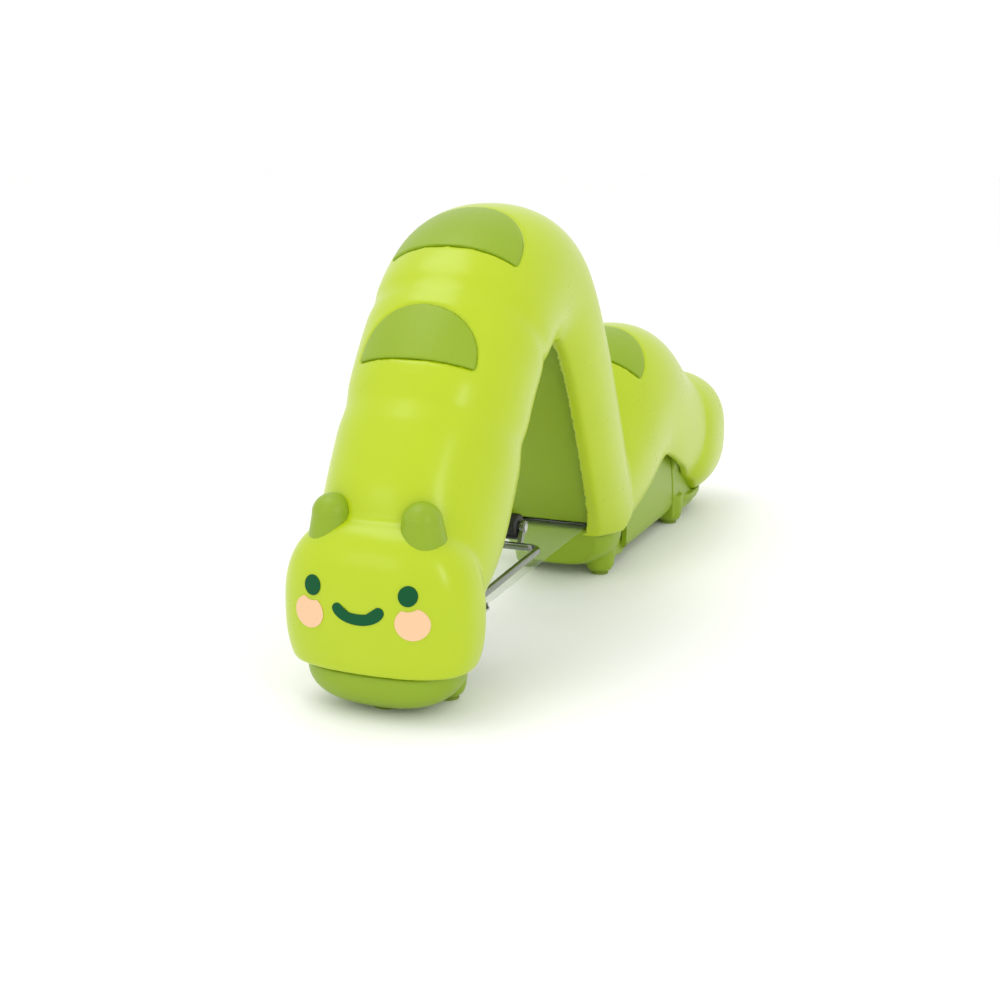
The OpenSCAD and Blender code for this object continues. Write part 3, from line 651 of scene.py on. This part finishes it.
for side in (-1, 1):
    lug = ring_of((ROLLER_Y, ROLLER_Z), 1.6, 1.6, 24)
    cut(arm, across(lug, LUG_T / 2, side * (LUG_X + LUG_T / 2)), "UNION")
    post = [(BAR_Y - 0.6, BAR_Z - 0.4), (BAR_Y + 0.9, BAR_Z - 0.4), (ROLLER_Y + 1.2, ROLLER_Z),
            (ROLLER_Y - 1.2, ROLLER_Z)]
    cut(arm, across(post, LUG_T / 2 - 0.02, side * (LUG_X + LUG_T / 2)), "UNION")
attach(arm, "arm")
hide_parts("spring_arm")
# Polished steel wire, metallic. Its dark olive-grey colour is painted reflection of the dark hollow and the
# green body around it.
spring_wire_painted_reflection = finish("spring wire with painted reflection", (0.24, 0.26, 0.22), (0.28, 0.30, 0.26), 0.24, grain=1500, Metallic=1.0)
wear(arm, spring_wire_painted_reflection)
shade_smooth(arm)

# ---- Pressure roller ----
# A black rubber roller on a steel pin. It turns as the tape is drawn under the arm.
round_edge = [(ROLLER_L / 2 - 0.7 + 0.7 * math.sin(a), ROLLER_R - 0.7 + 0.7 * math.cos(a))
              for a in np.radians(np.linspace(0, 90, 6))]
BORE_R = 1.05
side_on = round_edge + [(ROLLER_L / 2, BORE_R)]
outline = side_on + [(-x, r) for x, r in reversed(side_on)]
N_ROUND = 48
turn = 2 * np.pi * np.arange(N_ROUND) / N_ROUND
points = [(x, ROLLER_Y + r * math.cos(t), ROLLER_Z + r * math.sin(t)) for x, r in outline for t in turn]
faces = []
for i in range(len(outline)):
    for k in range(N_ROUND):
        n, m = (i + 1) % len(outline), (k + 1) % N_ROUND
        faces.append([i * N_ROUND + k, i * N_ROUND + m, n * N_ROUND + m, n * N_ROUND + k])
roller = solid("rubber_roller", points, faces)
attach(roller, "roller")
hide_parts("pressure_roller")
wear(roller, finish("black rubber", (0.006, 0.006, 0.006), (0.012, 0.012, 0.012), 0.42, dent=0.1))
shade_smooth(roller)

# ---- Floor, light and camera ----
# A flat white floor with a broad soft light over it, a tall softbox at the right and a weak one in front.
sheet = bpy.data.meshes.new("floor")
FLOOR = 3.0
corners = [(x * FLOOR, y * FLOOR, 0) for x, y in ((-1, -1), (1, -1), (1, 1), (-1, 1))]
sheet.from_pydata(corners, [], [(0, 1, 2, 3)])
floor = bpy.data.objects.new("floor", sheet)
bpy.context.scene.collection.objects.link(floor)
white_paper = finish("white paper", (0.95, 0.95, 0.95), (0.96, 0.96, 0.955), 0.7, fleck=3, dent=0.01,
                     grain=300)
wear(floor, white_paper)

world = bpy.data.worlds.new("studio")
bpy.context.scene.world = world
world.use_nodes = True
world.node_tree.nodes["Background"].inputs["Color"].default_value = (1, 1, 1, 1)
world.node_tree.nodes["Background"].inputs["Strength"].default_value = 1.04


def softbox(name, at, aim, width, height, watts, colour=(1, 1, 1)):
    lamp = bpy.data.lights.new(name, "AREA")
    lamp.shape, lamp.size, lamp.size_y, lamp.energy, lamp.color = "RECTANGLE", width, height, watts, colour
    obj = bpy.data.objects.new(name, lamp)
    obj.location = at
    obj.rotation_euler = (Vector(aim) - Vector(at)).to_track_quat("-Z", "Y").to_euler()
    bpy.context.scene.collection.objects.link(obj)


softbox("top softbox", (-0.25, -0.15, 0.8), (0, 0, 0.04), 0.5, 0.4, 1.5)
softbox("side softbox", (0.55, -0.45, 0.35), (0, -0.05, 0.05), 0.12, 0.3, 0.6)
softbox("front softbox", (-0.25, -0.75, 0.35), (0, -0.05, 0.05), 0.3, 0.2, 0.3)

bpy.context.scene.view_settings.view_transform = "Standard"
lens = bpy.data.cameras.new("camera")
lens.sensor_width, lens.lens = 36, 55.9
lens.clip_start = 0.01
camera = bpy.data.objects.new("camera", lens)
camera.location = (0.1361, -0.3684, 0.1186)
camera.rotation_euler = (math.pi / 2 - 0.2427, 0, 0.388)
bpy.context.scene.collection.objects.link(camera)
bpy.context.scene.camera = camera

bpy.context.view_layer.update()
